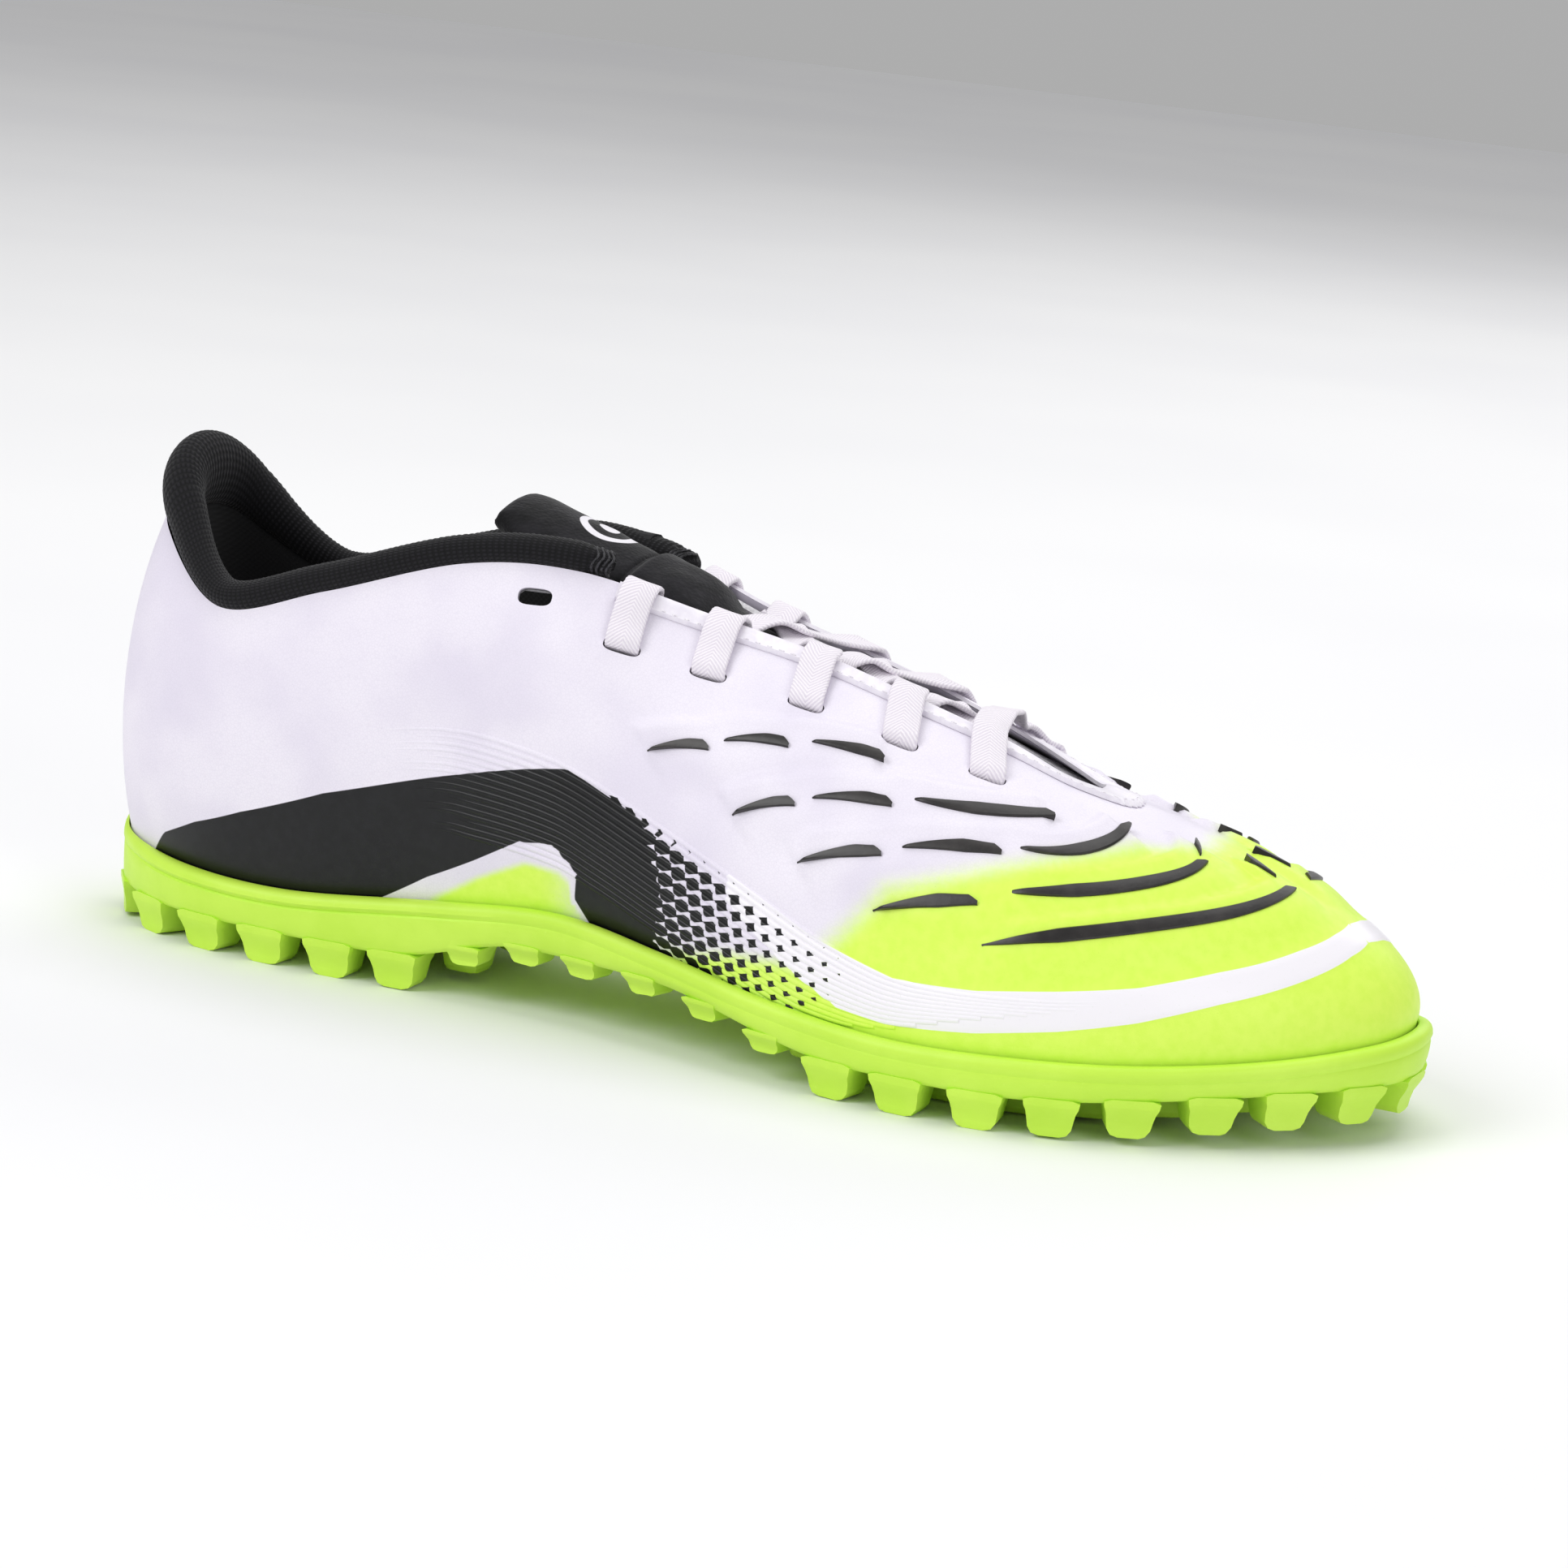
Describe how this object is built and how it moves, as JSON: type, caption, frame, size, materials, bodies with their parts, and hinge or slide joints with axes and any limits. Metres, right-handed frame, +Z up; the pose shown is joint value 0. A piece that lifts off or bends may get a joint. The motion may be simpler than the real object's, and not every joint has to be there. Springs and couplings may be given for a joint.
{
  "type": "turf football shoe",
  "caption": "Low-cut turf football shoe with a studded rubber outsole, laced synthetic upper, padded knit collar, tongue and raised rubber fins.",
  "frame": {"origin": "middle of the part's box in plan, on the ground under the studs", "axes": "+X towards the toe, +Y towards the medial side of this right shoe, +Z up"},
  "size_m": [0.2876, 0.0988, 0.1028],
  "materials": {
    "upper": "white coated synthetic with black, lime and white print, fine embossed ribs",
    "trim": "smooth white edge strip with a stitch line",
    "outsole": "moulded lime rubber, fine matt texture",
    "fin_rubber": "glossy dark rubber",
    "collar_knit": "fine ribbed black knit",
    "tongue_fabric": "black brushed fabric",
    "lining": "black knit lining",
    "sockliner": "black cloth over foam",
    "foam": "grey open foam",
    "stiffener": "pressed board, matt",
    "tape": "woven white tape",
    "lace": "flat woven white polyester",
    "aglet": "clear glossy tube"
  },
  "bodies": {
    "shoe": {"aglet_lateral": "aglet", "aglet_medial": "aglet", "collar_cover": "collar_knit", "collar_foam": "foam", "collar_padding": "foam", "eyelet_tape_lateral": "tape", "eyelet_tape_medial": "tape", "eyestay_trim": "trim", "fin_lateral_row1_a": "fin_rubber", "fin_lateral_row1_b": "fin_rubber", "fin_lateral_row1_c": "fin_rubber", "fin_lateral_row2_a": "fin_rubber", "fin_lateral_row2_b": "fin_rubber", "fin_lateral_row2_c": "fin_rubber", "fin_lateral_row3_a": "fin_rubber", "fin_lateral_row3_b": "fin_rubber", "fin_lateral_row3_c": "fin_rubber", "fin_lateral_row4_a": "fin_rubber", "fin_lateral_row4_b": "fin_rubber", "fin_lateral_row4_c": "fin_rubber", "fin_lateral_row5_a": "fin_rubber", "fin_lateral_row5_b": "fin_rubber", "fin_medial_row1_a": "fin_rubber", "fin_medial_row1_b": "fin_rubber", "fin_medial_row1_c": "fin_rubber", "fin_medial_row2_a": "fin_rubber", "fin_medial_row2_b": "fin_rubber", "fin_medial_row2_c": "fin_rubber", "fin_medial_row3_a": "fin_rubber", "fin_medial_row3_b": "fin_rubber", "fin_medial_row3_c": "fin_rubber", "fin_medial_row4_a": "fin_rubber", "fin_medial_row4_b": "fin_rubber", "fin_medial_row4_c": "fin_rubber", "fin_medial_row5_a": "fin_rubber", "fin_medial_row5_b": "fin_rubber", "heel_counter": "stiffener", "lace": "lace", "lasting_board": "stiffener", "lining_heel": "lining", "lining_vamp": "lining", "outsole": "outsole", "quarter_foam_lateral": "foam", "quarter_foam_medial": "foam", "toe_puff": "stiffener", "tongue_cover": "tongue_fabric", "tongue_foam": "foam", "tongue_lining": "lining", "upper_shell": "upper"},
    "tongue_tab": {"tongue_tab_cover": "tongue_fabric", "tongue_tab_foam": "foam", "tongue_tab_lining": "lining"},
    "sockliner": {"sockliner": "sockliner"}
  },
  "joints": [
    {"name": "tongue_flex", "type": "hinge", "parent": "shoe", "child": "tongue_tab", "pos_m": [-0.02466, 0, 0.09092], "axis": [0, 1, 0], "range_deg": [-2, 45]},
    {"name": "sockliner_lift", "type": "hinge", "parent": "shoe", "child": "sockliner", "pos_m": [0.13095, 0, 0.0185], "axis": [0, 1, 0], "range_deg": [0, 5]}
  ]
}
